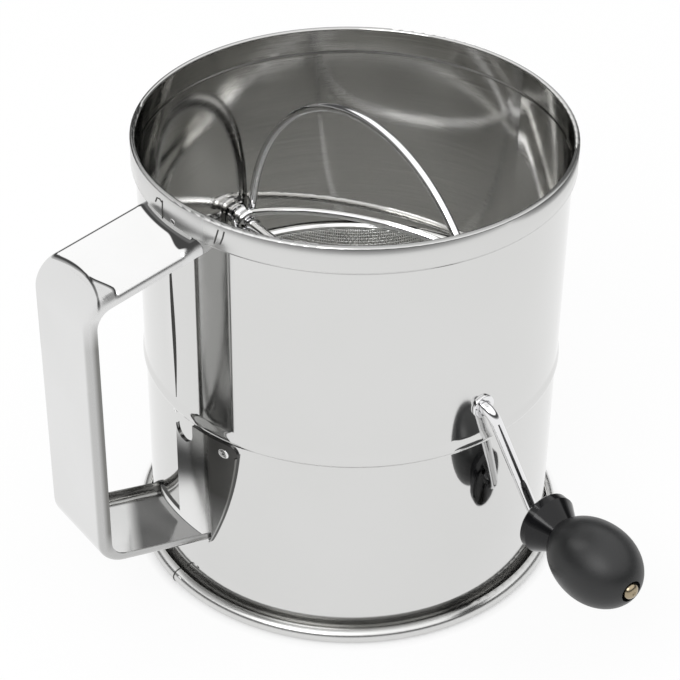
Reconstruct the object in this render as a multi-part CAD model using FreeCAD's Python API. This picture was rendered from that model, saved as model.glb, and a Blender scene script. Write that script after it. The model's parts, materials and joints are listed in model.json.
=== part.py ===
import FreeCAD, Part
import math
import os

# Hand-crank flour sifter. Millimetres, +Z up. The origin is on the drum's axis, on the surface it stands on.
# The crank points to -Y and the handle to -X.

# Drum: one rolled sheet
rim_radius = 82.5
drum_height = 178.0
drum_sheet = 0.6
hem_height = 10.4
hem_step = 0.3
hem_step_rise = 1.3
bead_out = 0.65
bead_step = 0.4
bead_rise = 4.4
bead_fall = 2.2
curl_radius = 2.75
curl_angle = 275.0
foot_flat = 0.3

# Fits
seat_gap = 0.05
running_gap = 0.06
sweep_gap = 0.6

# Shaft, crank and knob pin: one bent rod
shaft_height = 100.0
shaft_rise = 15.8
rod_diameter = 4.6
rod_bend_radius = 4.6
tail_out = 3.0
tail_round = 0.8
crank_start = 5.7
crank_radius = 59.4
crank_angle = 21.9
crank_lean = 2.0
spigot_diameter = 3.0
spigot_length = 2.6

# Eyelets that carry the shaft
eyelet_wall = 1.0
eyelet_flange = 1.3
eyelet_proud = 1.0
eyelet_inner = 0.8
eyelet_round = 0.45

# Agitator: four wire bows hooked round the shaft
bow_wire = 3.4
bow_wall_gap = 1.8
bow_leg = 0.4
bow_pitch = 3.6
hook_angle = 90.0
rest_angle = 3.0
pair_angle = 101.0

# Sieve bowl and the folded hoop round its flange
mesh_sheet = 0.8
mesh_bend = 1.0
mesh_cells = 12
mesh_bar = 3.0
mesh_margin = 7.0
hoop_sheet = 0.5
hoop_height = 2.4
hoop_corner = 0.4
hoop_lift = 0.8
hoop_roll = 1.8
hoop_nose = 0.9
hoop_seat = 0.2

# Handle: one folded strap
strap_sheet = 0.7
strap_width = 38.0
strap_lip = 4.4
strap_edge_radius = 3.4
grip_reach = 126.0
arm_angle = 12.8
arm_drop = 13.2
arm_low = 31.0
grip_bend = 11.6
tab_width = 28.0
tab_height = 7.0
plate_top_width = 65.0
plate_bulge = 2.5
plate_lip = 1.8
plate_corner = 4.0
plate_gap = 0.4
trim_toe = 3.4
notch_radius = 5.2
notch_depth = 4.6

# Knob: collar, egg and rivet
pin_gap = 0.4
collar_gap = 1.3
collar_radius = 12.0
collar_rim = 3.9
collar_chamfer = 0.9
collar_length = 11.2
neck_radius = 7.4
neck_socket_radius = 5.5
neck_socket_depth = 4.0
egg_radius = 15.5
egg_length = 38.2
egg_belly = 19.2
recess_radius = 4.4
recess_depth = 2.6
rivet_radius = 3.3
rivet_height = 3.8
rivet_round = 2.3
rivet_dimple = 0.9

# Worked out from the sizes above
V = FreeCAD.Vector
tiny = 1e-6
half_sheet = drum_sheet / 2
hem_gap = strap_sheet + 2 * seat_gap
hem_mid = rim_radius - drum_sheet - hem_gap - half_sheet
hem_low = drum_height - hem_height
wall_mid = hem_mid - hem_step
wall_outer = wall_mid + half_sheet
wall_inner = wall_mid - half_sheet
skirt_mid = wall_mid - bead_step
skirt_outer = skirt_mid + half_sheet
bead_height = shaft_height - shaft_rise
hem_fold = (drum_sheet + hem_gap) / 2
curl_height = curl_radius + half_sheet - foot_flat
rod_radius = rod_diameter / 2
wire_radius = bow_wire / 2
bow_reach = wall_inner - bow_wall_gap - wire_radius
mesh_radius = bow_reach + wire_radius + sweep_gap + mesh_sheet / 2
sieve_rim = bead_height + hoop_lift
sieve_depth = shaft_height - sieve_rim
flange_start = math.sqrt((mesh_radius + mesh_bend) ** 2 - (sieve_depth + mesh_bend) ** 2)
hoop_outer = wall_inner + hoop_seat


def strip_face(start, heading, moves, sheet):
    """Cross-section in XZ of a bent sheet: a middle line of runs and bends, half a sheet to each side.

    A move is (length,) for a straight run or (radius, degrees) for a bend, left turns positive.
    """
    half = sheet / 2
    point = V(start[0], 0, start[1])
    angle = math.radians(heading)
    edges = []
    caps = [[], []]

    def aside(spot, direction, offset):
        return spot + V(-math.sin(direction), 0, math.cos(direction)) * offset

    for side, offset in enumerate((half, -half)):
        caps[side].append(aside(point, angle, offset))
    for move in moves:
        if len(move) == 1:
            end = point + V(math.cos(angle), 0, math.sin(angle)) * move[0]
            for offset in (half, -half):
                edges.append(Part.makeLine(aside(point, angle, offset), aside(end, angle, offset)))
            point = end
            continue
        radius, turn = move[0], math.radians(move[1])
        side = math.copysign(radius, turn)
        centre = aside(point, angle, side)
        for offset in (half, -half):
            spots = [aside(centre, angle + turn * part, offset - side) for part in (0, 0.5, 1)]
            edges.append(Part.Arc(*spots).toShape())
        angle += turn
        point = aside(centre, angle, -side)
    for side, offset in enumerate((half, -half)):
        caps[side].append(aside(point, angle, offset))
    for first, second in zip(*caps):
        edges.append(Part.makeLine(first, second))
    return Part.Face(Part.Wire(Part.__sortEdges__(edges)))


def outline_face(points):
    """Closed face in XZ from corner points."""
    corners = [V(x, 0, z) for x, z in points]
    return Part.Face(Part.makePolygon(corners + corners[:1]))


def turned(face):
    """Solid of revolution about Z."""
    return face.revolve(V(0, 0, 0), V(0, 0, 1), 360)


def along_y(shape, outward, x, z):
    """Lays a turned piece's +Z axis along +Y or -Y, at the given x and z."""
    shape.rotate(V(0, 0, 0), V(1, 0, 0), -90 if outward > 0 else 90)
    shape.translate(V(x, 0, z))
    return shape


def rounded_path(points, radius):
    """Straight runs through the points, joined by tangent arcs of one radius."""
    edges = []
    start = points[0]
    for before, corner, after in zip(points, points[1:], points[2:]):
        back = (before - corner).normalize()
        ahead = (after - corner).normalize()
        half_angle = back.getAngle(ahead) / 2
        reach = radius / math.tan(half_angle)
        inward = (back + ahead).normalize()
        middle = corner + inward * (radius / math.sin(half_angle) - radius)
        edges.append(Part.makeLine(start, corner + back * reach))
        edges.append(Part.Arc(corner + back * reach, middle, corner + ahead * reach).toShape())
        start = corner + ahead * reach
    edges.append(Part.makeLine(start, points[-1]))
    return Part.Wire(edges)


def wire_solid(path, radius, start, direction):
    """Round wire swept along a path that leaves start in the given direction."""
    section = Part.Wire(Part.makeCircle(radius, start, direction))
    return path.makePipeShell([section], True, False)


def tube_wall(inner, outer, low, high):
    """Upright tube, from which curved plates are cut."""
    tube = Part.makeCylinder(outer, high - low, V(0, 0, low))
    return tube.cut(Part.makeCylinder(inner, high - low, V(0, 0, low)))


def flank(out, height):
    """Radius and turn of the two equal arcs that carry one flank of the bead out over its height."""
    turn = 2 * math.atan2(out, height)
    return height / (2 * math.sin(turn)), math.degrees(turn)


def drum_shell():
    """Hem, set-in wall, bead and foot curl as one bent sheet, turned about the axis, with two holes."""
    upper_radius, upper_turn = flank(bead_out, bead_rise)
    lower_radius, lower_turn = flank(bead_out + bead_step, bead_fall)
    step_radius, step_turn = flank(hem_step, hem_step_rise)
    fold_height = drum_height - half_sheet - hem_fold
    moves = [
        (fold_height - hem_low,),
        (hem_fold, 180.0),
        (fold_height - (hem_low + hem_step_rise / 2),),
        (step_radius, -step_turn),
        (step_radius, step_turn),
        (hem_low - hem_step_rise / 2 - (bead_height + bead_rise),),
        (upper_radius, upper_turn),
        (upper_radius, -upper_turn),
        (lower_radius, -lower_turn),
        (lower_radius, lower_turn),
        (bead_height - bead_fall - curl_height,),
        (curl_radius, curl_angle),
    ]
    shell = turned(strip_face((rim_radius - half_sheet, hem_low), 90.0, moves, drum_sheet))
    below = Part.makeCylinder(rim_radius * 2, drum_height, V(0, 0, -drum_height))
    hole_radius = rod_radius + running_gap + eyelet_wall + seat_gap
    holes = Part.makeCylinder(hole_radius, rim_radius * 4, V(0, -rim_radius * 2, shaft_height), V(0, 1, 0))
    return shell.cut(below).cut(holes)


def sieve_mesh():
    """Bowl concentric with the shaft, open in a coarse grid, with a flange turned out into the hoop."""
    bowl_turn = math.acos((sieve_depth + mesh_bend) / (mesh_radius + mesh_bend))
    turn = math.degrees(bowl_turn)
    flange = hoop_outer - hoop_sheet - seat_gap - flange_start
    moves = [(mesh_radius, turn), (mesh_bend, -turn), (flange,)]
    bowl = turned(strip_face((0.0, shaft_height - mesh_radius), 0.0, moves, mesh_sheet))
    return bowl.cut(Part.makeCompound(mesh_openings(mesh_radius * bowl_turn - mesh_margin)))


def mesh_openings(reach):
    """Tapered cutters for square openings, set out on a flat disc that is wrapped on the bowl."""
    cells = int(mesh_cells)
    pitch = 2 * reach / cells
    half = (pitch - mesh_bar) / 2
    centre = V(0, 0, shaft_height)

    def wrapped(u, v):
        angle = math.hypot(u, v) / mesh_radius
        around = math.atan2(v, u)
        return V(math.sin(angle) * math.cos(around), math.sin(angle) * math.sin(around), -math.cos(angle))

    cutters = []
    steps = [(index + 0.5) * pitch - reach for index in range(cells)]
    for u, v in ((u, v) for u in steps for v in steps):
        corners = [(u + half * a, v + half * b) for a, b in ((-1, -1), (1, -1), (1, 1), (-1, 1))]
        if max(math.hypot(*corner) for corner in corners) > reach:
            continue
        middle = wrapped(u, v)
        rays = [wrapped(*corner) for corner in corners]
        ends = []
        for share in (0.95, 1.05):
            spots = [centre + ray * (mesh_radius * share / ray.dot(middle)) for ray in rays]
            ends.append(Part.makePolygon(spots + spots[:1]))
        cutters.append(Part.makeLoft(ends, True, True))
    return cutters


def sieve_hoop():
    """Folded channel, open to the axis, round the flange of the bowl, with a rolled upper edge."""
    low = sieve_rim - hoop_height / 2
    slot_high = sieve_rim + hoop_height / 2 - hoop_sheet
    web = hoop_outer - hoop_sheet
    roll_width = web - flange_start + hoop_nose
    roll = []
    for angle in (90.0, 67.5, 45.0, 22.5, 0.0):
        turn = math.radians(angle)
        roll.append((web - roll_width * math.cos(turn), slot_high + hoop_roll * math.sin(turn)))
    return turned(outline_face([
        (flange_start, low),
        (hoop_outer - hoop_corner, low),
        (hoop_outer, low + hoop_corner),
        (hoop_outer, slot_high),
        *roll,
        (web, slot_high),
        (web, low + hoop_sheet),
        (flange_start, low + hoop_sheet),
    ]))


def eyelet(outward):
    """Rolled eyelet: a tube through the wall with a rounded flange outside and a thin flare inside."""
    bore = rod_radius + running_gap
    tube = bore + eyelet_wall
    flange = tube + eyelet_flange
    outside = wall_outer + seat_gap
    crown = outside + eyelet_proud
    inside = math.sqrt(wall_inner ** 2 - flange ** 2) - seat_gap
    face = outline_face([
        (bore, inside - eyelet_inner),
        (flange, inside - eyelet_inner),
        (flange, inside),
        (tube, inside),
        (tube, outside),
        (flange, outside),
        (flange, crown),
        (bore, crown),
    ])
    ring = turned(face)
    lip = [edge for edge in ring.Edges if edge.BoundBox.ZMin > crown - tiny]
    return along_y(ring.makeFillet(eyelet_round, lip), outward, 0.0, shaft_height)


def crank_offset():
    """Sideways and downward reach of the crank, from its radius and rest angle."""
    angle = math.radians(crank_angle)
    return crank_radius * math.sin(angle), crank_radius * math.cos(angle)


def pin_start():
    """Distance from the drum's axis to where the knob pin runs straight."""
    slope = math.atan2(crank_radius, crank_lean)
    return wall_outer + crank_start + crank_lean + rod_bend_radius * math.tan(slope / 2)


def collar_face():
    return pin_start() + collar_gap


def egg_start():
    return collar_face() + collar_length


def pin_end():
    """Shoulder of the pin, under the rivet and clear of the recess in the egg."""
    return egg_start() + egg_length - recess_depth + pin_gap


def crank_rod():
    """Tail, shaft, crank arm and knob pin in one bend, with a turned spigot for the rivet."""
    side, down = crank_offset()
    low = shaft_height - down
    elbow = wall_outer + crank_start
    knee = elbow + crank_lean
    tail = wall_outer + seat_gap + eyelet_proud + tail_out
    points = [
        V(0, tail, shaft_height),
        V(0, -elbow, shaft_height),
        V(side, -knee, low),
        V(side, -pin_end(), low),
    ]
    rod = wire_solid(rounded_path(points, rod_bend_radius), rod_radius, points[0], V(0, -1, 0))
    rod = rod.makeFillet(tail_round, [edge for edge in rod.Edges if edge.BoundBox.YMin > tail - tiny])
    spigot = Part.makeCylinder(spigot_diameter / 2, spigot_length + pin_gap,
                               V(side, -pin_end() + pin_gap, low), V(0, -1, 0))
    return rod.fuse(spigot).removeSplitter()


def agitator_bow(turn, leg, side):
    """Wire bow in a plane beside the shaft, both ends hooked round it. A turn of 0 stands upright."""
    aside = side * (rod_radius + seat_gap + wire_radius)
    span = bow_reach - leg
    hook = math.radians(hook_angle)

    def ring_spot(angle, y):
        return V(aside * math.cos(angle), y, -abs(aside) * math.sin(angle))

    edges = []
    for y in (span, -span):
        edges.append(Part.Arc(*[ring_spot(hook * part, y) for part in (0, 0.5, 1)]).toShape())
        edges.append(Part.makeLine(V(aside, y, 0), V(aside, y, leg)))
    edges.append(Part.Arc(V(aside, span, leg), V(aside, 0, leg + span), V(aside, -span, leg)).toShape())
    path = Part.Wire(Part.__sortEdges__(edges))
    tip_direction = V(side * math.sin(hook), 0, math.cos(hook))
    bow = wire_solid(path, wire_radius, ring_spot(hook, span), tip_direction)
    bow.rotate(V(0, 0, 0), V(0, 1, 0), turn)
    bow.translate(V(0, 0, shaft_height))
    return bow


def strap_section():
    """Channel section of the strap: a flat web with a lip turned in along each edge."""
    bend = strap_edge_radius - strap_sheet / 2
    run = strap_lip - strap_edge_radius
    web = strap_width - 2 * strap_edge_radius
    start = ((strap_sheet - strap_width) / 2, strap_sheet / 2 - strap_lip)
    moves = [(run,), (bend, -90.0), (web,), (bend, -90.0), (run,)]
    return strip_face(start, 90.0, moves, strap_sheet)


def handle_strap():
    """Channel strap bent to a grip, with its top hooked into the hem and its foot flared to a wall plate."""
    slope = math.tan(math.radians(arm_angle))
    middle = strap_sheet / 2
    grip = grip_reach - middle
    arm_high = drum_height - arm_drop
    top = V(0, 0, arm_high + slope * wall_outer)
    high_corner = V(-grip, 0, arm_high - slope * (grip - wall_outer))
    low_corner = V(-grip, 0, arm_low + slope * (grip - skirt_outer))
    foot = V(0, 0, arm_low - slope * skirt_outer)
    direction = (high_corner - top).normalize()
    section = strap_section().OuterWire
    frame = FreeCAD.Rotation(V(0, 1, 0), direction, V(0, 0, 1), "YXZ")
    section.Placement = FreeCAD.Placement(top, frame)
    path = rounded_path([top, high_corner, low_corner, foot], grip_bend)
    strap = path.makePipeShell([section], True, False)
    split = (high_corner.z + low_corner.z) / 2
    room = Part.makeCylinder(wall_outer + seat_gap, drum_height, V(0, 0, split))
    room = room.fuse(Part.makeCylinder(skirt_outer + seat_gap, split))
    return strap.cut(room).fuse([hem_tab(arm_high), wall_plate()]).removeSplitter()


def hem_tab(arm_high):
    """Tab that turns up from the strap's end into the open hem."""
    low = arm_high - strap_sheet
    inner = hem_mid + half_sheet + seat_gap
    curve = tube_wall(inner, inner + strap_sheet, low, hem_low + tab_height)
    return curve.common(Part.makeBox(rim_radius, tab_width, drum_height, V(-rim_radius, -tab_width / 2, 0)))


def flared(inset, low, top):
    """Prism of the plate's outline, with bowed sides, set in from its edges."""
    half_low = strap_width / 2 - inset
    half_top = plate_top_width / 2 - inset
    half_mid = (half_low + half_top) / 2 + plate_bulge
    middle = (low + top) / 2
    spots = ((half_low, low), (half_mid, middle), (half_top, top))
    edges = [Part.Arc(*[V(0, way * half, z) for half, z in spots]).toShape() for way in (-1, 1)]
    edges += [Part.makeLine(V(0, -half, z), V(0, half, z)) for half, z in spots[::2]]
    outline = Part.Wire(Part.__sortEdges__(edges))
    return Part.Face(outline).extrude(V(-rim_radius * 2, 0, 0))


def seam_trim(low, top):
    """Block beyond the sheet's seam, which trims the plate's far side and notches its upper corner."""
    toe = low + trim_toe
    deep = rim_radius * 2
    block = Part.makeBox(deep, plate_top_width, top + notch_radius - toe, V(-deep, 0, toe))
    notch = Part.makeCylinder(notch_radius, deep, V(0, -notch_radius, top - notch_depth), V(-1, 0, 0))
    slot = Part.makeBox(deep, notch_radius * 2, notch_depth + notch_radius,
                        V(-deep, -notch_radius * 2, top - notch_depth))
    return block.fuse([notch, slot])


def wall_plate():
    """Flared plate, curved to the wall, from the strap's foot to just under the bead, with lipped sides."""
    top = bead_height - bead_fall - plate_gap
    low = arm_low - strap_sheet / 2
    inner = skirt_outer + seat_gap
    flare = flared(0.0, low, top)
    points = [edge for edge in flare.Edges
              if edge.BoundBox.ZMin > top - tiny and edge.BoundBox.XLength > plate_corner]
    flare = flare.makeFillet(plate_corner, points)
    plate = tube_wall(inner, inner + strap_sheet, low, top).common(flare)
    lips = tube_wall(inner, inner + plate_lip, low, top - plate_corner).common(flare)
    plate = plate.fuse(lips.cut(flared(strap_sheet, low - strap_sheet, top)))
    return plate.cut(seam_trim(low, top))


def placed_on_pin(shape):
    """Sets a knob piece, turned about Z with its distances from the drum's axis, on the knob pin."""
    side, down = crank_offset()
    return along_y(shape, -1, side, shaft_height - down)


def knob_collar():
    """Chamfered disc and cone, with a socket for the egg's neck."""
    low = collar_face()
    bore = rod_radius + running_gap
    socket = neck_socket_radius + seat_gap
    face = outline_face([
        (bore, low),
        (collar_radius - collar_chamfer, low),
        (collar_radius, low + collar_chamfer),
        (collar_radius, low + collar_rim),
        (neck_radius, egg_start()),
        (socket, egg_start()),
        (socket, egg_start() - neck_socket_depth - seat_gap),
        (bore, egg_start() - neck_socket_depth - seat_gap),
    ])
    return placed_on_pin(turned(face))


def knob_grip():
    """Egg of two half-ellipses, with a neck that seats in the collar and a recess at its tip."""
    start = egg_start() + seat_gap
    belly = egg_start() + egg_belly
    tip = egg_start() + egg_length
    low = egg_start() - neck_socket_depth
    bore = rod_radius + running_gap
    near = (belly - start) / math.sqrt(1 - (neck_radius / egg_radius) ** 2)
    far = (tip - belly) / math.sqrt(1 - (recess_radius / egg_radius) ** 2)

    def quarter(semi, from_spot, to_spot):
        long_end = V(0, 0, belly + semi)
        across = V(egg_radius, 0, belly)
        ends = (long_end, across) if abs(semi) > egg_radius else (across, long_end)
        curve = Part.Ellipse(*ends, V(0, 0, belly))
        first, last = sorted((curve.parameter(from_spot), curve.parameter(to_spot)))
        if last - first > math.pi:
            first, last = last - 2 * math.pi, first
        return curve.toShape(first, last)

    corners = [
        V(neck_radius, 0, start),
        V(neck_socket_radius, 0, start),
        V(neck_socket_radius, 0, low),
        V(bore, 0, low),
        V(bore, 0, tip - recess_depth),
        V(recess_radius, 0, tip - recess_depth),
        V(recess_radius, 0, tip),
    ]
    edges = [Part.makeLine(first, second) for first, second in zip(corners, corners[1:])]
    edges.append(quarter(-near, corners[0], V(egg_radius, 0, belly)))
    edges.append(quarter(far, V(egg_radius, 0, belly), corners[-1]))
    return placed_on_pin(turned(Part.Face(Part.Wire(Part.__sortEdges__(edges)))))


def knob_rivet():
    """Domed rivet pressed on the pin's spigot, with a punched dimple in its crown."""
    low = pin_end()
    head = Part.makeCylinder(rivet_radius, rivet_height, V(0, 0, low))
    rim = [edge for edge in head.Edges if edge.BoundBox.ZMin > low + rivet_height - tiny]
    head = head.makeFillet(rivet_round, rim)
    hole = Part.makeCylinder(spigot_diameter / 2 + seat_gap / 2, spigot_length + seat_gap, V(0, 0, low))
    dimple = Part.makeSphere(rivet_dimple, V(0, 0, low + rivet_height + rivet_dimple / 2))
    return placed_on_pin(head.cut(hole).cut(dimple))


def build():
    """Every piece by its node name."""
    pieces = {
        "drum_shell": drum_shell(),
        "sieve_mesh": sieve_mesh(),
        "sieve_hoop": sieve_hoop(),
        "handle_strap": handle_strap(),
        "crank_eyelet": eyelet(-1),
        "tail_eyelet": eyelet(1),
        "crank_rod": crank_rod(),
        "knob_collar": knob_collar(),
        "knob_grip": knob_grip(),
        "knob_rivet": knob_rivet(),
    }
    for half_turn, (upright, level) in ((0.0, ("top", "right")), (180.0, ("bottom", "left"))):
        turn = rest_angle + half_turn
        pieces["agitator_bow_" + upright] = agitator_bow(turn, bow_leg, 1)
        pieces["agitator_bow_" + level] = agitator_bow(turn + pair_angle, bow_leg + bow_pitch, -1)
    return pieces


os.makedirs("parts", exist_ok=True)
for name, shape in build().items():
    shape.exportStep("parts/" + name + ".step")
    box = shape.BoundBox
    print("%-22s valid %s solids %d volume %.1f  x %.1f %.1f  y %.1f %.1f  z %.1f %.1f" % (
        name, shape.isValid(), len(shape.Solids), shape.Volume,
        box.XMin, box.XMax, box.YMin, box.YMax, box.ZMin, box.ZMax))
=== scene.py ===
# %% [markdown]
# # A hand-crank flour sifter
# The object is a polished steel drum with a strap handle. A bowl of woven wire sits inside it, and a crank turns
# four wire bows over that bowl to rub flour through. Shapes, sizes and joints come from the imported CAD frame. This
# file adds what CAD leaves out: the weave, the marks of sheet-metal work, the finishes, the studio and the camera.

# %% Load the frame
import json
import math

import bmesh
import bpy
from mathutils import Matrix, Vector


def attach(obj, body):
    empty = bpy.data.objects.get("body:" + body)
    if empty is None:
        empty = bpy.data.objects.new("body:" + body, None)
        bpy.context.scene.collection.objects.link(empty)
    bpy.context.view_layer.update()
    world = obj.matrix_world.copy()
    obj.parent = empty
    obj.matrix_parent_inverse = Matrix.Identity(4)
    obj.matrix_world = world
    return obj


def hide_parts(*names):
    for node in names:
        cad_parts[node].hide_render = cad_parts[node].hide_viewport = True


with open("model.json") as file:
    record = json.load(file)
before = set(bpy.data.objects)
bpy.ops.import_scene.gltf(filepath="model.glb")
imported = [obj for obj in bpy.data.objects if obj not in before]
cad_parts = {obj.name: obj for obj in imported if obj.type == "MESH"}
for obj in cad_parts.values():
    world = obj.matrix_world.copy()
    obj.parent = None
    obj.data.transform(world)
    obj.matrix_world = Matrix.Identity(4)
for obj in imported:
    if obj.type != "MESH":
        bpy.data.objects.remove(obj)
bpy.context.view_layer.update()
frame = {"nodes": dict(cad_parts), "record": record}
nodes = frame["nodes"]


# %% [markdown]
# ## Camera
# A likeness starts with the right eye point. The rim, the bead and the foot of the drum are circles of known size, so
# their ellipses in the photo fix the camera: 35 degrees above the table, a long lens, a small roll, and a picture
# centre a little off the lens axis, which is what Blender's shift is for.

# %% Camera
picture_px = 680
focal_px = 2036.1
centre_px = (351.26, 334.56)
azimuth, elevation, roll = (math.radians(angle) for angle in (-36.5, 34.922, -1.029))
aim = Vector((0, 0, 0.085))
distance = 0.8

camera = bpy.data.objects.new("camera", bpy.data.cameras.new("camera"))
bpy.context.scene.collection.objects.link(camera)
bpy.context.scene.camera = camera
camera.data.sensor_width = 36
camera.data.lens = camera.data.sensor_width * focal_px / picture_px
camera.data.shift_x = 0.5 - centre_px[0] / picture_px
camera.data.shift_y = centre_px[1] / picture_px - 0.5
camera.data.clip_start = 0.01

level = math.cos(elevation)
back = Vector((math.sin(azimuth) * level, -math.cos(azimuth) * level, math.sin(elevation)))
right = Vector((math.cos(azimuth), math.sin(azimuth), 0))
facing = Matrix((right, back.cross(right), back)).transposed().to_4x4()
camera.matrix_world = Matrix.Translation(aim + back * distance) @ facing @ Matrix.Rotation(-roll, 4, "Z")
print("lens %.1f mm, %.2f m from the drum's middle" % (camera.data.lens, distance))

# %% [markdown]
# ## Helpers for node trees
# Every finish and every Geometry Nodes tree below is a graph of small nodes. `put` adds one node and fills its
# sockets, either with a plain value or with another node's output. The others each stand for one common step, so that
# a tree reads like arithmetic. They build plain nodes, so a tree can also be read and changed in Blender's editor.


# %% Put a node
def put(tree, kind, sockets=None, **options):
    """Adds a node, sets its options, then fills its sockets with values or with other nodes' outputs."""
    node = tree.nodes.new(kind)
    for name, value in options.items():
        setattr(node, name, value)
    for key, value in (sockets or {}).items():
        if isinstance(value, bpy.types.NodeSocket):
            tree.links.new(value, node.inputs[key])
        else:
            node.inputs[key].default_value = value
    return node


def calc(tree, operation, *values):
    """One Math node on the given values or outputs."""
    return put(tree, "ShaderNodeMath", dict(enumerate(values)), operation=operation).outputs[0]


print("node helpers: put, calc")


# %% Number helpers
def product(tree, first, *others):
    """Several values multiplied, one after the other."""
    for other in others:
        first = calc(tree, "MULTIPLY", first, other)
    return first


def apart(tree, first, second):
    """How far apart two values are."""
    return calc(tree, "ABSOLUTE", calc(tree, "SUBTRACT", first, second))


def ramp(tree, value, span, ends=(0.0, 1.0), kind="LINEAR"):
    """Maps a value that runs over a span to two ends, and holds it beyond them."""
    sockets = {"Value": value, "From Min": span[0], "From Max": span[1], "To Min": ends[0], "To Max": ends[1]}
    return put(tree, "ShaderNodeMapRange", sockets, interpolation_type=kind).outputs["Result"]


print("number helpers: product, apart, ramp")


# %% Vector helpers
def vector_calc(tree, operation, *values):
    """One Vector Math node. A length or a dot product gives a number, anything else a vector."""
    node = put(tree, "ShaderNodeVectorMath", dict(enumerate(values)), operation=operation)
    return node.outputs["Value" if operation in ("LENGTH", "DOT_PRODUCT") else "Vector"]


def split(tree, vector):
    """The X, Y and Z of a vector."""
    return put(tree, "ShaderNodeSeparateXYZ", {"Vector": vector}).outputs


def joined(tree, **axes):
    """A vector from its X, Y and Z, with 0 for those left out."""
    return put(tree, "ShaderNodeCombineXYZ", axes).outputs[0]


print("vector helpers: vector_calc, split, joined")

# %% [markdown]
# ## Studio
# Polished steel has hardly a colour of its own: it shows the room. The photo's room is a white table under a broad
# white light, with a dim studio between the two. The table fills the drum's outside with one even light grey, and the
# dim band draws the dark lines along every folded edge. So the sky is white overhead, with a dark band low down. A
# colour ramp over the height of each direction is enough for it, where a built room would only be slower.

# %% Sky
scene = bpy.context.scene
scene.view_settings.view_transform = "Standard"
sky = bpy.data.worlds.new("studio sky")
scene.world = sky
sky.use_nodes = True
tree = sky.node_tree
tree.nodes.clear()
height = split(tree, put(tree, "ShaderNodeTexCoord").outputs["Generated"])["Z"]
band = put(tree, "ShaderNodeValToRGB", {"Fac": height})
# Each stop is a height, as the sine of the angle above the horizon, and the brightness there.
sky_stops = ((0.0, 0.62), (0.13, 0.30), (0.22, 0.08), (0.43, 0.08), (0.53, 1.30), (1.0, 1.30))
for stop, _ in sky_stops[1:-1]:
    band.color_ramp.elements.new(stop)
for mark, (stop, brightness) in zip(band.color_ramp.elements, sky_stops):
    mark.position = stop
    mark.color = (brightness, brightness, brightness, 1)
light = put(tree, "ShaderNodeBackground", {"Color": band.outputs["Color"], "Strength": 1.0})
white = put(tree, "ShaderNodeBackground", {"Color": (1, 1, 1, 1), "Strength": 1.0})
seen = put(tree, "ShaderNodeLightPath").outputs["Is Camera Ray"]
mixed = put(tree, "ShaderNodeMixShader", {"Fac": seen, 1: light.outputs[0], 2: white.outputs[0]})
put(tree, "ShaderNodeOutputWorld", {"Surface": mixed.outputs[0]})
print("sky stops:", [round(mark.position, 2) for mark in band.color_ramp.elements])

# %% [markdown]
# The table is a plain sheet, far wider than the picture. Its paper glows for the camera and for mirrors, and is matte
# for all other light, so it looks white in the picture and in the steel, and yet lights the part from below as paper
# does. Under the drum and close round it the glow fades out, which leaves the soft shadow of contact.

# %% Table sheet
table_half = 6.0
mesh = bpy.data.meshes.new("table")
corners = [(x * table_half, y * table_half, 0) for x, y in ((-1, -1), (1, -1), (1, 1), (-1, 1))]
mesh.from_pydata(corners, [], [(0, 1, 2, 3)])
table = bpy.data.objects.new("table", mesh)
scene.collection.objects.link(table)
print("table %.0f m across" % (2 * table_half))

# %% Table paper
footprint = 0.083
glow_edge = (footprint - 0.002, footprint + 0.006)
glow_share = 0.9
paper_grey = (0.86, 0.86, 0.86, 1)
paper = bpy.data.materials.new("white table paper")
paper.use_nodes = True
tree = paper.node_tree
tree.nodes.clear()
from_drum = vector_calc(tree, "LENGTH", put(tree, "ShaderNodeTexCoord").outputs["Object"])
path = put(tree, "ShaderNodeLightPath").outputs
mirrored = calc(tree, "MAXIMUM", path["Is Glossy Ray"], path["Is Transmission Ray"])
looked_at = calc(tree, "MAXIMUM", path["Is Camera Ray"], mirrored)
glow = product(tree, looked_at, ramp(tree, from_drum, glow_edge), glow_share)
matte = put(tree, "ShaderNodeBsdfDiffuse", {"Color": paper_grey})
shine = put(tree, "ShaderNodeEmission", {"Color": (1, 1, 1, 1), "Strength": 1.0})
mixed = put(tree, "ShaderNodeMixShader", {"Fac": glow, 1: matte.outputs[0], 2: shine.outputs[0]})
put(tree, "ShaderNodeOutputMaterial", {"Surface": mixed.outputs[0]})
table.data.materials.append(paper)
print("table paper:", len(tree.nodes), "nodes")

# %% [markdown]
# One soft lamp from the upper left gives the black knob and the wires a clear highlight and a direction to the shade.
# It is an area lamp, because a large source has soft edges, and it is brighter than the sky, so that it stands out.


# %% Lamp
def soft_lamp(name, place, target, size, watts):
    """A square area lamp at a place, turned to a target."""
    lamp = bpy.data.objects.new(name, bpy.data.lights.new(name, "AREA"))
    lamp.data.size = size
    lamp.data.energy = watts
    turn = (Vector(place) - Vector(target)).to_track_quat("Z", "Y")
    lamp.matrix_world = Matrix.Translation(place) @ turn.to_matrix().to_4x4()
    scene.collection.objects.link(lamp)
    return lamp


key_lamp = soft_lamp("key lamp", place=(-0.9, -0.5, 1.1), target=aim, size=0.7, watts=6.0)
print("lamp: %s, %.0f W" % (key_lamp.name, key_lamp.data.energy))

# %% [markdown]
# ## Steel finishes
# Stainless sheet is rolled, then polished on one side. Outside it is a mirror with faint smears. Inside it keeps the
# satin of the rolls, with fine lines that run round the drum. One material serves both sides: the surface normal,
# compared with the direction away from the axis, tells outside from inside.


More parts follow.
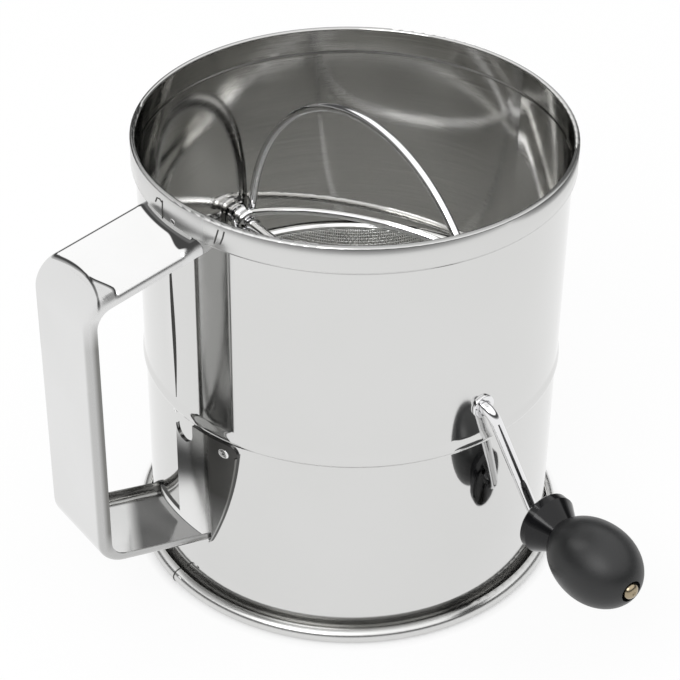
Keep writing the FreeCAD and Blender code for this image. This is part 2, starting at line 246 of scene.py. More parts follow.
# %% Finish helpers
def new_finish(name, **sockets):
    """A material with one Principled shader whose even values are set straight on its sockets."""
    material = bpy.data.materials.new(name)
    material.use_nodes = True
    tree = material.node_tree
    tree.nodes.clear()
    values = {key.replace("_", " "): value for key, value in sockets.items()}
    shader = put(tree, "ShaderNodeBsdfPrincipled", values)
    put(tree, "ShaderNodeOutputMaterial", {"Surface": shader.outputs[0]})
    return material, tree, shader


def noise(tree, vector, scale, detail=3.0):
    """A noise texture's grey value."""
    sockets = {"Vector": vector, "Scale": scale, "Detail": detail}
    return put(tree, "ShaderNodeTexNoise", sockets).outputs["Fac"]


def stretched(tree, vector, scale):
    """Coordinates stretched by a factor for each axis."""
    return put(tree, "ShaderNodeMapping", {"Vector": vector, "Scale": scale}).outputs["Vector"]


def bumped(tree, shader, height, normal=None):
    """Tilts the shader's normal, or a given one, by a height in metres."""
    bump = put(tree, "ShaderNodeBump", {"Height": height, "Distance": 1.0, "Strength": 1.0})
    if normal:
        tree.links.new(normal, bump.inputs["Normal"])
    tree.links.new(bump.outputs["Normal"], shader.inputs["Normal"])


print("finish helpers: new_finish, noise, stretched, bumped")


# %% Mixing helpers
def blend(tree, share, first, second):
    """A colour between two. Each is red, green and blue, or another node's output."""
    ends = [(*end, 1) if isinstance(end, tuple) else end for end in (first, second)]
    return put(tree, "ShaderNodeMix", {"Factor": share, 6: ends[0], 7: ends[1]}, data_type="RGBA").outputs[2]


def between(tree, share, first, second):
    """A number between two."""
    return put(tree, "ShaderNodeMix", {"Factor": share, 2: first, 3: second}).outputs[0]


print("mixing helpers: blend, between")

# %% Drum steel
drum_radius = 0.081
line_stretch = (14.0, 1800.0, 1.0)
drum_steel, tree, shader = new_finish("drum steel", Metallic=1.0)
coordinates = put(tree, "ShaderNodeTexCoord").outputs
place = coordinates["Object"]
axes = split(tree, place)
from_axis = vector_calc(tree, "MULTIPLY", place, (1, 1, 0))
inside = calc(tree, "LESS_THAN", vector_calc(tree, "DOT_PRODUCT", coordinates["Normal"], from_axis), 0.0)
outside = calc(tree, "SUBTRACT", 1.0, inside)
along = calc(tree, "MULTIPLY", calc(tree, "ARCTAN2", axes["Y"], axes["X"]), drum_radius)
unrolled = joined(tree, X=along, Y=axes["Z"])
smear = noise(tree, place, scale=16.0)
lines = noise(tree, stretched(tree, unrolled, line_stretch), scale=1.0, detail=2.0)
outer_colour = blend(tree, smear, (0.66, 0.66, 0.65), (0.70, 0.70, 0.695))
inner_colour = blend(tree, lines, (0.52, 0.515, 0.495), (0.74, 0.735, 0.715))
colour = blend(tree, inside, outer_colour, inner_colour)
print("drum steel's two sides:", len(tree.nodes), "nodes")

# %% [markdown]
# Shade is painted into the drum's colour in three places: the groove over the foot curl, a fine line under the hem,
# and the rim's fold, which is greyer all over and darker on its outer half. Thin dark pieces would have nothing there
# to catch the light, so these are bands of painted shade in the drum's own finish. Where the sheet was rolled, in the
# foot and the hem, it is also duller.

# %% Drum steel's painted shade
groove_top, groove_foot = (0.0088, 0.0098), (0.0052, 0.0060)
rim_fold, rim_outside = (0.1773, 0.1779), (0.0811, 0.0816)
hem_line, hem_line_edge = 0.1668, (0.0003, 0.0011)
groove_shade_colour, rim_shade_colour, line_shade_colour = (0.16, 0.158, 0.15), (0.50, 0.50, 0.495), (0.20, 0.20, 0.195)
# Painted shade: the groove over the foot curl, the line under the hem and the rim's fold are darkened in the base
# colour.
groove = product(tree, ramp(tree, axes["Z"], groove_top, (1.0, 0.0)), ramp(tree, axes["Z"], groove_foot, (0.0, 0.75)))
colour = blend(tree, product(tree, groove, outside), colour, groove_shade_colour)
rim_shade = ramp(tree, axes["Z"], rim_fold)
colour = blend(tree, rim_shade, colour, rim_shade_colour)
reach = vector_calc(tree, "LENGTH", from_axis)
outer_rim_shade = product(tree, rim_shade, ramp(tree, reach, rim_outside, (0.0, 0.55)))
under_hem_shade = product(tree, ramp(tree, apart(tree, axes["Z"], hem_line), hem_line_edge, (0.35, 0.0)), outside)
colour = blend(tree, calc(tree, "MAXIMUM", outer_rim_shade, under_hem_shade), colour, line_shade_colour)
tree.links.new(colour, shader.inputs["Base Color"])
print("dark lines in mm:", [round(1000 * z, 1) for z in (groove_top[0], hem_line, rim_fold[0])])

# %% Drum steel's dull places
seam_side, hem_foot, hem_rough = (0.020, 0.032), 0.1665, 0.13
smear_span, mirror_rough = (0.3, 0.75), (0.03, 0.09)
line_span, satin_rough = (0.3, 0.7), (0.05, 0.15)
foot_dull = ramp(tree, axes["Z"], groove_top, (0.20, 0.0))
seam_dull = ramp(tree, calc(tree, "ABSOLUTE", axes["Y"]), seam_side, (0.24, 0.0))
seam_dull = product(tree, seam_dull, calc(tree, "LESS_THAN", axes["X"], 0.0))
hem_dull = calc(tree, "MAXIMUM", seam_dull, hem_rough)
hem_dull = product(tree, hem_dull, calc(tree, "GREATER_THAN", axes["Z"], hem_foot))
outer_rough = ramp(tree, smear, smear_span, mirror_rough)
outer_rough = calc(tree, "ADD", outer_rough, calc(tree, "ADD", foot_dull, hem_dull))
inner_rough = ramp(tree, lines, line_span, satin_rough)
tree.links.new(between(tree, inside, outer_rough, inner_rough), shader.inputs["Roughness"])
print("drum steel so far:", len(tree.nodes), "nodes")

# %% [markdown]
# The sheet is not quite true. It waves a little, it keeps its rolling lines inside, and the hem's upper half leans in
# towards the rim, most on the side away from the handle, which turns its reflection from the white table to the dim
# studio. These small forms are bump: a height in metres that tilts the normal, which is all a mirror shows of them.

# %% Drum steel's small forms
hem_middle, hem_crown = 0.1695, -26.0
crown_span, crown_growth = (0.005, 0.075), (1.0, 4.0)
wave_height, brush_height = 0.00004, 0.000010
wave = calc(tree, "MULTIPLY", noise(tree, place, scale=22.0, detail=1.0), wave_height)
brush = product(tree, lines, inside, brush_height)
up_hem = calc(tree, "MAXIMUM", calc(tree, "SUBTRACT", axes["Z"], hem_middle), 0.0)
crown = product(tree, up_hem, up_hem, hem_crown, outside, ramp(tree, axes["X"], crown_span, crown_growth))
bumped(tree, shader, calc(tree, "ADD", calc(tree, "ADD", wave, brush), crown))
print("drum steel:", len(tree.nodes), "nodes")

# %% [markdown]
# The handle is the same sheet, folded. Its outside is polished, and the faces inside the loop, which no wheel reaches,
# stay duller. Its turned-in lips are duller still and a darker grey below the upper arm, and they carry painted shade
# over most of their run and on the far lip inside the loop.

# %% Handle steel
loop_centre = (-0.103, 0.0, 0.095)
unreached_rough = (0.13, 0.23)
handle_steel, tree, shader = new_finish("handle steel", Metallic=1.0)
coordinates = put(tree, "ShaderNodeTexCoord").outputs
place = coordinates["Object"]
axes = split(tree, place)
to_loop = vector_calc(tree, "SUBTRACT", loop_centre, place)
in_loop = calc(tree, "GREATER_THAN", vector_calc(tree, "DOT_PRODUCT", coordinates["Normal"], to_loop), 0.0)
smear = noise(tree, place, scale=30.0)
polished = blend(tree, smear, (0.70, 0.70, 0.695), (0.76, 0.76, 0.76))
dull = blend(tree, smear, (0.58, 0.58, 0.575), (0.66, 0.66, 0.655))
colour = blend(tree, in_loop, polished, dull)
polished_rough = ramp(tree, smear, smear_span, mirror_rough)
dull_rough = ramp(tree, smear, smear_span, unreached_rough)
print("handle steel's two sides:", len(tree.nodes), "nodes")

# %% Handle steel's lips
lip_curl, lip_side, lip_top = (0.0165, 0.0188), (0.0160, 0.0172), (0.138, 0.150)
edge_out, edge_foot = (-0.1242, -0.1226), (0.046, 0.056)
lip_grey, lip_shade_colour = (0.52, 0.52, 0.515), (0.22, 0.218, 0.21)
from_middle = calc(tree, "ABSOLUTE", axes["Y"])
face_rough = between(tree, in_loop, polished_rough, dull_rough)
lip_rough = ramp(tree, from_middle, lip_curl, (0.0, 0.30))
tree.links.new(calc(tree, "MAXIMUM", face_rough, lip_rough), shader.inputs["Roughness"])
on_lip = product(tree, ramp(tree, from_middle, lip_side), ramp(tree, axes["Z"], lip_top, (1.0, 0.0)))
colour = blend(tree, on_lip, colour, lip_grey)
# Painted shade: the lips are darkened over most of their run and on the far lip inside the loop.
free_edge = product(tree, ramp(tree, axes["X"], edge_out), ramp(tree, axes["Z"], edge_foot))
far_lip = product(tree, calc(tree, "GREATER_THAN", axes["Y"], 0.0), in_loop)
shade = product(tree, calc(tree, "MAXIMUM", free_edge, far_lip), on_lip)
colour = blend(tree, shade, colour, lip_shade_colour)
print("handle steel with its lips:", len(tree.nodes), "nodes")

# %% [markdown]
# ## Soft forms of the handle
# Four places of the strap are formed more softly than plain folds. At the upper corner the grip ends in a low arch,
# with a small gusset beside it. The strap's end turns up towards the hem. The lower arm dips at the grip. The plate on
# the wall flares out towards its foot, less so on its wing. The solids keep plain folds there, so the finish leans the
# surface normal as the real sheet leans, and the reflections take the real shapes: a dark arch, a dark line under the
# hem, and a plate that goes from grey to dark to bright. Each lean is the tangent of an angle.

# %% Arch and gusset
corner_fold, gusset_end, arch_bend = -0.1157, -0.1127, -13.0
gusset_side, fold_side, fold_widths = (0.002, 0.0175), (0.0, 0.015), (0.0024, 0.006)
arch_edge, arch_start = (0.0002, 0.0009), (0.002, 0.006)
fold_lean, arch_lean, lip_share = 2.3, 1.2, 0.35
near = calc(tree, "MULTIPLY", axes["Y"], -1.0)
square = calc(tree, "MULTIPLY", axes["Y"], axes["Y"])
far_square = calc(tree, "POWER", calc(tree, "MAXIMUM", axes["Y"], 0.0), 2.0)
gusset = ramp(tree, near, gusset_side, (corner_fold, gusset_end), "SMOOTHSTEP")
fold = calc(tree, "MULTIPLY_ADD", far_square, arch_bend, gusset)
fold_width = ramp(tree, axes["Y"], fold_side, fold_widths)
past_fold = calc(tree, "DIVIDE", calc(tree, "SUBTRACT", fold, axes["X"]), fold_width)
corner_lean = ramp(tree, past_fold, (-0.5, 0.5), (0.0, fold_lean))
arch = calc(tree, "MULTIPLY_ADD", square, arch_bend, corner_fold)
arch_line = ramp(tree, apart(tree, arch, axes["X"]), arch_edge, (arch_lean, 0.0))
arch_line = product(tree, arch_line, ramp(tree, near, arch_start))
corner_lean = calc(tree, "SUBTRACT", corner_lean, arch_line)
corner_lean = product(tree, corner_lean, ramp(tree, from_middle, lip_curl, (1.0, lip_share)))
print("handle steel with its corner:", len(tree.nodes), "nodes")

# %% Turned-up end
hem_reach, top_above = 0.0828, 0.120
end_side, end_reach, end_run = (0.004, 0.016), (0.0838, 0.0872), 0.002
rise_lean, turn_lean = 0.5, 0.78
from_axis = vector_calc(tree, "MULTIPLY", place, (1, 1, 0))
reach = vector_calc(tree, "LENGTH", from_axis)
end_start = ramp(tree, near, end_side, end_reach, "SMOOTHSTEP")
end_stop = calc(tree, "ADD", end_start, end_run)
end_rise = ramp(tree, reach, (hem_reach, end_start), (rise_lean, 0.0))
end_lean = calc(tree, "ADD", end_rise, ramp(tree, reach, (end_start, end_stop), (turn_lean, 0.0)))
on_top = product(tree, calc(tree, "GREATER_THAN", axes["Z"], top_above), calc(tree, "SUBTRACT", 1.0, in_loop))
top_lean = product(tree, calc(tree, "ADD", corner_lean, end_lean), on_top, -1.0)
print("handle steel with its upper end:", len(tree.nodes), "nodes")

# %% Lower arm
floor_below, facing_up = 0.060, 0.8
dip_span, dip_lean, dip_skew = (-0.1045, -0.0985), -0.105, -0.5
upward = split(tree, coordinates["Normal"])["Z"]
on_floor = product(tree, calc(tree, "LESS_THAN", axes["Z"], floor_below), calc(tree, "GREATER_THAN", upward, facing_up))
askew = calc(tree, "MULTIPLY_ADD", axes["Y"], dip_skew, axes["X"])
floor_lean = product(tree, ramp(tree, askew, dip_span, (dip_lean, 0.0)), on_floor)
print("handle steel with its lower arm:", len(tree.nodes), "nodes")

# %% Plate
plate_reach, cut_reach, plate_top = 0.0826, 0.0815, 0.0845
edge_limit, face_limit, plate_edge_shade = 0.5, 0.7, (0.10, 0.10, 0.098)
flare_span, flare_leans = (0.033, 0.0815), (1.6, 0.3)
wing_side, wing_lean = (0.0175, 0.0205), 0.55
facing_out = calc(tree, "DIVIDE", vector_calc(tree, "DOT_PRODUCT", coordinates["Normal"], from_axis), reach)
on_plate = product(tree, calc(tree, "LESS_THAN", reach, plate_reach), calc(tree, "LESS_THAN", axes["Z"], plate_top))
edge_on = calc(tree, "LESS_THAN", calc(tree, "ABSOLUTE", facing_out), edge_limit)
# Painted shade: the plate's cut edge faces are painted dark, standing for the shade under the plate's edge.
sheared = product(tree, on_plate, edge_on, calc(tree, "LESS_THAN", reach, cut_reach))
tree.links.new(blend(tree, sheared, colour, plate_edge_shade), shader.inputs["Base Color"])
flare = ramp(tree, axes["Z"], flare_span, flare_leans)
flare = between(tree, ramp(tree, near, wing_side), flare, wing_lean)
plate_lean = product(tree, flare, on_plate, calc(tree, "GREATER_THAN", facing_out, face_limit))
print("handle steel with its plate:", len(tree.nodes), "nodes")

# %% Lean the normal
lean = joined(tree, X=calc(tree, "ADD", top_lean, floor_lean), Z=plate_lean)
leaned = vector_calc(tree, "NORMALIZE", vector_calc(tree, "ADD", coordinates["Normal"], lean))
to_world = {"vector_type": "NORMAL", "convert_from": "OBJECT", "convert_to": "WORLD"}
leaned = put(tree, "ShaderNodeVectorTransform", {"Vector": leaned}, **to_world).outputs[0]
strap_wave = 0.00003
wave = calc(tree, "MULTIPLY", noise(tree, place, scale=45.0, detail=1.0), strap_wave)
bumped(tree, shader, wave, leaned)
print("handle steel:", len(tree.nodes), "nodes")

# %% [markdown]
# ## Wire, small metal and plastic
# The rod, the bows and the eyelets are drawn wire and pressed tube with bright plating, so their fine lines run along
# the shaft. The hoop is bright sheet, the sieve wire is dull from its weaving, and the knob's rivet has a warm tone.
# A dark, rough metal serves as painted shade on the lap's cut edge, and as the dark of the slits, scratches and the
# welds' middles. All are one kind of finish with other values, so one function makes them.


# %% Wire and small metal
metal_wave, metal_line = 0.00003, 0.000001


def bright_metal(name, dark, pale, rough, smear_scale, line_scale):
    """Metal with faint smears in its grey and gloss, and fine lines that are long where the line scale is small."""
    material, tree, shader = new_finish(name, Metallic=1.0)
    place = put(tree, "ShaderNodeTexCoord").outputs["Object"]
    smear = noise(tree, place, smear_scale)
    lines = noise(tree, stretched(tree, place, line_scale), scale=1.0, detail=2.0)
    tree.links.new(blend(tree, smear, dark, pale), shader.inputs["Base Color"])
    tree.links.new(ramp(tree, smear, smear_span, rough), shader.inputs["Roughness"])
    wave = calc(tree, "MULTIPLY", noise(tree, place, smear_scale * 1.5, detail=1.0), metal_wave)
    bumped(tree, shader, calc(tree, "ADD", wave, calc(tree, "MULTIPLY", lines, metal_line)))
    print(name, "-", len(tree.nodes), "nodes")
    return material


shaft_lines, sheet_lines, fine_grain = (900, 30, 900), (30, 30, 900), (900, 900, 900)
bright_wire = bright_metal(
    "bright wire", (0.78, 0.78, 0.785), (0.86, 0.86, 0.87), rough=(0.04, 0.10), smear_scale=60.0,
    line_scale=shaft_lines)
hoop_steel = bright_metal(
    "hoop steel", (0.76, 0.76, 0.755), (0.84, 0.84, 0.835), rough=(0.08, 0.16), smear_scale=60.0,
    line_scale=sheet_lines)
sieve_wire = bright_metal(
    "sieve wire", (0.84, 0.84, 0.82), (0.93, 0.93, 0.91), rough=(0.36, 0.48), smear_scale=180.0,
    line_scale=fine_grain)
rivet_metal = bright_metal(
    "rivet metal", (0.27, 0.22, 0.145), (0.46, 0.385, 0.27), rough=(0.18, 0.34), smear_scale=400.0,
    line_scale=fine_grain)
# Dark, rough metal: painted shade on the lap's cut edge, and the dark of the slits, scratches and weld middles.
edge_shade_and_marks = bright_metal(
    "dark marks and painted edge shade", (0.06, 0.06, 0.058), (0.13, 0.13, 0.125), rough=(0.35, 0.50), smear_scale=500.0,
    line_scale=fine_grain)

# %% [markdown]
# The knob is two mouldings of black plastic: a satin egg for the hand and a glossy collar. Black plastic is known by
# its highlight alone, so the two differ in roughness, in shine, and in how deep their grain is.


# %% Knob plastics
def black_plastic(name, dark, pale, rough, shine, grain_scale, grain_depth):
    """Moulded black plastic with a fine grain and a little handling wear in its gloss."""
    material, tree, shader = new_finish(name, IOR=1.5, Specular_IOR_Level=shine)
    place = put(tree, "ShaderNodeTexCoord").outputs["Object"]
    wear = noise(tree, place, scale=70.0)
    tree.links.new(blend(tree, wear, dark, pale), shader.inputs["Base Color"])
    tree.links.new(ramp(tree, wear, line_span, rough), shader.inputs["Roughness"])
    bumped(tree, shader, calc(tree, "MULTIPLY", noise(tree, place, grain_scale, detail=2.0), grain_depth))
    print(name, "-", len(tree.nodes), "nodes")
    return material


black_satin = black_plastic(
    "satin black plastic", (0.010, 0.0105, 0.011), (0.018, 0.0185, 0.019), rough=(0.34, 0.46), shine=0.5,
    grain_scale=1800.0, grain_depth=0.00003)
black_gloss = black_plastic(
    "glossy black plastic", (0.004, 0.004, 0.0045), (0.008, 0.008, 0.009), rough=(0.04, 0.10), shine=0.32,
    grain_scale=300.0, grain_depth=0.000006)

# %% [markdown]
# The record names a material slot for each CAD node, so one table of slots dresses them all. The hoop shares the
# drum's slot but not its polish: it is a narrow strip, bright all round, so it gets its own finish.

# %% Dress the CAD nodes
finishes = {
    "drum_steel": drum_steel,
    "mesh_steel": sieve_wire,
    "handle_steel": handle_steel,
    "bright_wire": bright_wire,
    "black_gloss": black_gloss,
    "black_satin": black_satin,
    "rivet_metal": rivet_metal,
}
for row in frame["record"]["subparts"]:
    nodes[row["node"]].material_slots[0].material = finishes[row["material_slot"]]
nodes["sieve_hoop"].material_slots[0].material = hoop_steel
for name, node in nodes.items():
    print(name, "-", node.material_slots[0].material.name)

# %% [markdown]
# ## Woven sieve
# The sieve is plain woven wire cloth, pressed into a bowl: each wire passes over one crossing wire and under the next.
# CAD holds it as a bowl with a coarse grid of openings. Here Geometry Nodes lay a square grid of wires on a flat disc,
# bend the disc into the bowl so that lengths from its middle are kept, and lift each wire at every other crossing. The
# warp and the weft are the same tree, turned by a quarter and lifted the other way. A four-sided section is enough for
# so thin a wire.


# %% Tree helpers
def new_tree(name, output, inputs):
    """A Geometry Nodes tree with one geometry output and named inputs, and what those inputs give."""
    tree = bpy.data.node_groups.new(name, "GeometryNodeTree")
    tree.interface.new_socket(output, in_out="OUTPUT", socket_type="NodeSocketGeometry")
    for label, kind in inputs.items():
        tree.interface.new_socket(label, in_out="INPUT", socket_type="NodeSocket" + kind)
    return tree, put(tree, "NodeGroupInput").outputs


def tube(tree, curve, radius, sides):
    """A closed tube along a curve."""
    section = put(tree, "GeometryNodeCurvePrimitiveCircle", {"Resolution": sides, "Radius": radius}).outputs["Curve"]
    sockets = {"Curve": curve, "Profile Curve": section, "Fill Caps": True}
    return put(tree, "GeometryNodeCurveToMesh", sockets).outputs["Mesh"]


def smooth(tree, geometry):
    """Smooth shading."""
    return put(tree, "GeometryNodeSetShadeSmooth", {"Geometry": geometry}).outputs["Geometry"]


def dressed(tree, geometry, finish):
    """Instances made real, with a material: the end of every tree."""
    real = put(tree, "GeometryNodeRealizeInstances", {"Geometry": geometry}).outputs["Geometry"]
    return put(tree, "GeometryNodeSetMaterial", {"Geometry": real, "Material": finish}).outputs["Geometry"]


print("tree helpers: new_tree, tube, smooth, dressed")

# %% Weave tree: a flat disc of wires
sizes = ("Pitch", "Wire Radius", "Bowl Radius", "Bowl Centre", "Rim Angle", "Flange", "Lift", "Turn")
weave, given = new_tree("woven bowl", "Wires", {**dict.fromkeys(sizes, "Float"), "Finish": "Material"})
arc = calc(weave, "MULTIPLY", given["Bowl Radius"], given["Rim Angle"])
cloth_radius = calc(weave, "ADD", arc, given["Flange"])
half_count = calc(weave, "FLOOR", calc(weave, "DIVIDE", cloth_radius, given["Pitch"]))
count = calc(weave, "MULTIPLY_ADD", half_count, 2.0, 1.0)
start = product(weave, half_count, given["Pitch"], -1.0)


def row_of_points(axis):
    """Points one pitch apart along an axis, centred on the bowl's axis."""
    first, step = joined(weave, **{axis: start}), joined(weave, **{axis: given["Pitch"]})
    sockets = {"Count": count, "Start Location": first, "Offset": step}
    return put(weave, "GeometryNodeMeshLine", sockets, mode="OFFSET").outputs["Mesh"]


wire = put(weave, "GeometryNodeMeshToCurve", {"Mesh": row_of_points("X")}).outputs["Curve"]
laid = put(weave, "GeometryNodeInstanceOnPoints", {"Points": row_of_points("Y"), "Instance": wire}).outputs["Instances"]
sheet = put(weave, "GeometryNodeRealizeInstances", {"Geometry": laid}).outputs["Geometry"]
spot = put(weave, "GeometryNodeInputPosition").outputs["Position"]
length = vector_calc(weave, "LENGTH", spot)
cut_off = {"Geometry": sheet, "Selection": calc(weave, "GREATER_THAN", length, cloth_radius)}
disc = put(weave, "GeometryNodeDeleteGeometry", cut_off, domain="POINT").outputs["Geometry"]
print("weave tree so far:", len(weave.nodes), "nodes")

# %% Weave tree: the bowl
nearly_none = 1e-6
flat = split(weave, spot)
slope = calc(weave, "MINIMUM", calc(weave, "DIVIDE", length, given["Bowl Radius"]), given["Rim Angle"])
crossing = calc(weave, "ROUND", calc(weave, "DIVIDE", calc(weave, "ADD", flat["X"], flat["Y"]), given["Pitch"]))
over = calc(weave, "MULTIPLY_ADD", calc(weave, "FLOORED_MODULO", crossing, 2.0), -2.0, 1.0)
shell = calc(weave, "SUBTRACT", given["Bowl Radius"], product(weave, over, given["Lift"], given["Wire Radius"]))
past_rim = calc(weave, "MAXIMUM", calc(weave, "SUBTRACT", length, arc), 0.0)
radius = calc(weave, "MULTIPLY_ADD", shell, calc(weave, "SINE", slope), past_rim)
share = calc(weave, "DIVIDE", radius, calc(weave, "MAXIMUM", length, nearly_none))
depth = calc(weave, "MULTIPLY", shell, calc(weave, "COSINE", slope))
bent = joined(
    weave,
    X=calc(weave, "MULTIPLY", flat["X"], share),
    Y=calc(weave, "MULTIPLY", flat["Y"], share),
    Z=calc(weave, "SUBTRACT", given["Bowl Centre"], depth),
)
bowl = put(weave, "GeometryNodeSetPosition", {"Geometry": disc, "Position": bent}).outputs["Geometry"]
wires = smooth(weave, tube(weave, bowl, given["Wire Radius"], sides=4))
turned = put(weave, "GeometryNodeTransform", {"Geometry": wires, "Rotation": joined(weave, Z=given["Turn"])})
put(weave, "NodeGroupOutput", {"Wires": dressed(weave, turned.outputs["Geometry"], given["Finish"])})
print("weave tree:", len(weave.nodes), "nodes")

# %% [markdown]
# A tree only tells how a piece grows. To hand on a plain mesh, the tree runs once as a modifier with its inputs filled
# in, the result is kept, and the modifier goes. The warp and the weft grow from the bowl's own sizes, so that the cloth
# lies where the solid bowl lies and takes its place. Pitch and wire are judged from the texture of the cloth.


# %% Grow a piece from a tree
def grown(name, tree, values, body, mesh=None):
    """Runs a Geometry Nodes tree with named values and keeps the result as a plain mesh that rides on a body."""
    piece = bpy.data.objects.new(name, mesh or bpy.data.meshes.new(name))
    scene.collection.objects.link(piece)
    modifier = piece.modifiers.new("tree", "NODES")
    modifier.node_group = tree
    for socket in tree.interface.items_tree:
        if socket.in_out == "INPUT" and socket.name in values:
            modifier[socket.identifier] = values[socket.name]
    result = bpy.data.meshes.new_from_object(piece.evaluated_get(bpy.context.evaluated_depsgraph_get()))
    piece.modifiers.remove(modifier)
    piece.data = result
    result.name = name
    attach(piece, body)
    triangles = sum(len(face.vertices) - 2 for face in result.polygons)
    print(name, "-", triangles, "triangles")
    return piece


print("piece helper: grown")

# %% Sieve wires
shaft_height = 0.100
bowl_radius = 0.0794
sieve_rim = 0.085
cloth = {
    "Pitch": 0.0013,
    "Wire Radius": 0.00024,
    "Bowl Radius": bowl_radius,
    "Bowl Centre": shaft_height,
    "Rim Angle": math.acos((shaft_height - sieve_rim) / bowl_radius),
    "Flange": 0.0014,
    "Finish": sieve_wire,
}
lay = math.radians(53.5)
warp = grown("sieve_warp", weave, dict(cloth, Lift=1.0, Turn=lay), "drum")
weft = grown("sieve_weft", weave, dict(cloth, Lift=-1.0, Turn=lay + math.pi / 2), "drum")
for piece in (warp, weft):
    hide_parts("sieve_mesh")

# %% [markdown]
# ## Marks of sheet-metal work
# The drum is a flat sheet, rolled up and joined behind the handle. Four things tell of it: the hem's lower edge is
# turned in, the wall's lap stands off a little where it was not pressed flat, the hem's ends meet in a slit, and the
# spot welder left small nuggets. They are too thin for the solids, so they are laid on them here. The hem's edge is a
# small section turned about the drum's axis, and it stops where the handle's tab goes up into the hem.


# %% Piece from faces
sharp_angle = math.radians(40)


def sheet_piece(name, points, faces, metals, dark_faces=()):
    """A closed piece of sheet on the drum, with its faces turned outwards and its sharp edges kept."""
    mesh = bpy.data.meshes.new(name)
    mesh.from_pydata(points, [], faces)
    for metal in metals:
        mesh.materials.append(metal)
    for index in dark_faces:
        mesh.polygons[index].material_index = 1
    work = bmesh.new()
    work.from_mesh(mesh)
    bmesh.ops.recalc_face_normals(work, faces=work.faces)
    work.to_mesh(mesh)
    work.free()
    mesh.shade_smooth()
    mesh.set_sharp_from_angle(angle=sharp_angle)
    piece = bpy.data.objects.new(name, mesh)
    scene.collection.objects.link(piece)
    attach(piece, "drum")
    print(name, "-", len(mesh.polygons), "faces")
    return piece


print("sharp edges are kept from %.0f degrees" % math.degrees(sharp_angle))


# %% Points and faces on the drum
def bar_faces(rows, columns):
    """Faces of a closed bar: each row is a loop of points, joined to the next row, with a cap at both ends."""
    faces = []
    for row in range(rows - 1):
        for column in range(columns):
            beside = (column + 1) % columns
            low, high = row * columns, (row + 1) * columns
            faces.append((low + column, low + beside, high + beside, high + column))
    return faces + [tuple(range(columns)), tuple(range((rows - 1) * columns, rows * columns))]


def on_drum(across, height, radius):
    """A point on the drum's side, by its distance along the wall from the seam, its height and its radius."""
    angle = math.pi - across / radius
    return (radius * math.cos(angle), radius * math.sin(angle), height)


print("point and face helpers: bar_faces, on_drum")

# %% Hem edge
hem_radius = 0.0825
hem_low = 0.1676
tab_half = 0.0146
hem_roll, hem_sheet = 0.0009, 0.0004
hem_steps = 240
roll_angles = [math.radians(angle) for angle in range(0, -91, -18)]


def rolled(radius, angles):
    """Points of the hem's section on a quarter circle, each a radius and a height."""
    middle = hem_radius - hem_roll
    return [(middle + radius * math.cos(angle), hem_low + radius * math.sin(angle)) for angle in angles]


section = rolled(hem_roll, roll_angles) + rolled(hem_roll - hem_sheet, reversed(roll_angles))
run = 2 * math.pi * hem_radius - 2 * tab_half
points = []
for step in range(hem_steps + 1):
    across = tab_half + run * step / hem_steps
    points += [on_drum(across, height, radius) for radius, height in section]
sheet_piece("hem_edge", points, bar_faces(hem_steps + 1, len(section)), [drum_steel])

# %% [markdown]
# The wall's lap is one end of the sheet lying on the other. It is pressed down at the ends of the seam and stands off
# in between, and its cut edge is painted dark, as painted shade under the lifted edge. A grid of points on the drum's
# side gives it, with a lift that is largest along the edge and falls to nothing across the lap. A flat strip would not
# follow the drum.

# %% Wall lap
wall_radius = 0.0808
lap_low, lap_high, lap_width = 0.089, 0.1655, 0.007
lap_rows, lap_columns = 40, 9
pressed, bulge, waver = 0.00012, 0.0006, 0.0004
bulge_place, bulge_shape = 0.8, 1.5
sunk, proud = 0.00005, 0.00002
points = []
for row in range(lap_rows + 1):
    share = row / lap_rows
    lift = pressed + bulge * math.sin(math.pi * share ** bulge_place) ** bulge_shape
    edge = -waver - waver * math.sin(2 * math.pi * share)
    height = lap_low + (lap_high - lap_low) * share
    points.append(on_drum(edge, height, wall_radius - sunk))
    for step in range(lap_columns - 2):
        far = step / (lap_columns - 3)
        points.append(on_drum(edge + far * lap_width, height, wall_radius + proud + lift * (1 - far) ** 2))
    points.append(on_drum(edge + lap_width, height, wall_radius - sunk))
edge_faces = [row * lap_columns for row in range(lap_rows)]
lap_faces = bar_faces(lap_rows + 1, lap_columns)
# The cut edge's faces take the dark metal: painted shade under the lifted edge.
sheet_piece("wall_lap", points, lap_faces, [drum_steel, edge_shade_and_marks], edge_faces)

# %% [markdown]
# Slits and scratches are lines on the sheet. The hem's ends meet in one, the foot curl has its joint, and fitting the
# handle left a few more. They could be cut into the solids, but they are finer than the sheet is thick. So a Geometry
# Nodes tree turns chains of edges, laid on the drum, into thin dark lines.

# %% Line tree
line_inputs = {"Chains": "Geometry", "Line Radius": "Float", "Finish": "Material"}
scribe, given = new_tree("scribed lines", "Lines", line_inputs)
chain = put(scribe, "GeometryNodeMeshToCurve", {"Mesh": given["Chains"]}).outputs["Curve"]
drawn = tube(scribe, chain, given["Line Radius"], sides=6)
put(scribe, "NodeGroupOutput", {"Lines": dressed(scribe, drawn, given["Finish"])})
print("line tree:", len(scribe.nodes), "nodes")

# %% Slits and scratches
millimetre = 0.001
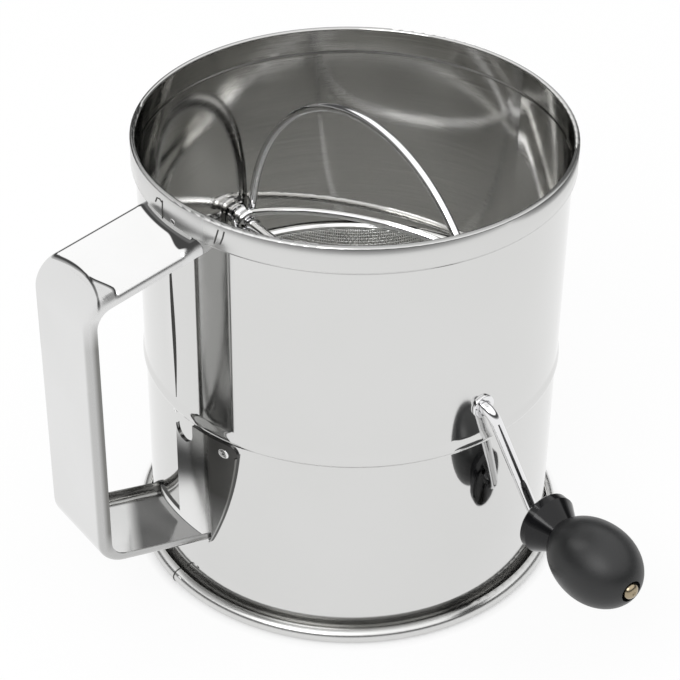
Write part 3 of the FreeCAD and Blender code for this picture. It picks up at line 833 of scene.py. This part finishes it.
# Each point is a distance along the wall from the seam and a height, in millimetres.
hem_lines = (
    ((0.5, 174.4), (0.8, 170.0), (0.9, 167.0)),
    ((5.5, 171.6), (4.3, 173.7), (2.2, 174.3), (1.0, 173.6)),
    ((-28.4, 175.3), (-27.4, 172.1), (-26.5, 169.2)),
    ((-30.9, 175.4), (-30.2, 172.6), (-29.0, 169.7)),
)
chains = [[on_drum(across * millimetre, height * millimetre, hem_radius) for across, height in line]
          for line in hem_lines]
curl_radius, curl_reach, curl_height = 0.00305, 0.08285, 0.00275
curl_joint = -0.001
curl_angles = [math.radians(angle) for angle in range(-50, 121, 17)]
chains.append([
    on_drum(curl_joint, curl_height + curl_radius * math.sin(angle), curl_reach + curl_radius * math.cos(angle))
    for angle in curl_angles
])
print("lines:", len(chains))

# %% Seam lines
points, edges = [], []
for line in chains:
    edges += [(len(points) + index, len(points) + index + 1) for index in range(len(line) - 1)]
    points += line
mesh = bpy.data.meshes.new("seam_lines")
mesh.from_pydata(points, edges, [])
lines = grown("seam_lines", scribe, {"Line Radius": 0.00028, "Finish": edge_shade_and_marks}, "drum", mesh)

# %% [markdown]
# A spot weld leaves a small flat nugget with a dark middle. One dome with one dot is enough for them all: the tree sets
# the pair on every point, turned to face away from the drum's axis, at the size that the point carries.

# %% Weld tree
weld_inputs = {
    "Places": "Geometry",
    **dict.fromkeys(("Dome Height", "Dome Width", "Dot Radius"), "Float"),
    **dict.fromkeys(("Dome Finish", "Dot Finish"), "Material"),
}
nugget, given = new_tree("weld nuggets", "Nuggets", weld_inputs)


def flat_dome(radius, place):
    """A ball of few faces, flattened to a dome, at a place."""
    ball = put(nugget, "GeometryNodeMeshUVSphere", {"Segments": 16, "Rings": 8, "Radius": radius}).outputs["Mesh"]
    flatness = joined(nugget, X=1.0, Y=given["Dome Width"], Z=given["Dome Height"])
    sockets = {"Geometry": smooth(nugget, ball), "Translation": place, "Scale": flatness}
    return put(nugget, "GeometryNodeTransform", sockets).outputs["Geometry"]


dome = flat_dome(1.0, (0, 0, 0))
dot = flat_dome(given["Dot Radius"], joined(nugget, Z=given["Dome Height"]))
spot = split(nugget, put(nugget, "GeometryNodeInputPosition").outputs["Position"])
turn = joined(nugget, Y=math.pi / 2, Z=calc(nugget, "ARCTAN2", spot["Y"], spot["X"]))
size = put(nugget, "GeometryNodeInputNamedAttribute", {"Name": "size"}, data_type="FLOAT").outputs["Attribute"]
pair = put(nugget, "GeometryNodeJoinGeometry")
for part, finish in ((dome, given["Dome Finish"]), (dot, given["Dot Finish"])):
    sockets = {"Points": given["Places"], "Instance": part, "Rotation": turn, "Scale": size}
    placed = put(nugget, "GeometryNodeInstanceOnPoints", sockets).outputs["Instances"]
    nugget.links.new(dressed(nugget, placed, finish), pair.inputs["Geometry"])
put(nugget, "NodeGroupOutput", {"Nuggets": pair.outputs[0]})
print("weld tree:", len(nugget.nodes), "nodes")

# %% Weld nuggets
# Each weld is a distance along the wall from the seam, a height, a radius from the axis and a size, in millimetres.
welds = ((-26.5, 76.9, 81.15, 2.0), (-5.6, 168.8, 82.5, 1.1), (1.1, 81.9, 80.75, 0.9), (-4.5, 4.6, 85.3, 0.8))
mesh = bpy.data.meshes.new("weld_nuggets")
mesh.from_pydata([on_drum(*(value * millimetre for value in weld[:3])) for weld in welds], [], [])
mesh.attributes.new("size", "FLOAT", "POINT").data.foreach_set("value", [weld[3] * millimetre for weld in welds])
weld_values = {
    "Dome Height": 0.12,
    "Dome Width": 1.25,
    "Dot Radius": 0.22,
    "Dome Finish": hoop_steel,
    "Dot Finish": edge_shade_and_marks,
}
grown("weld_nuggets", nugget, weld_values, "drum", mesh)
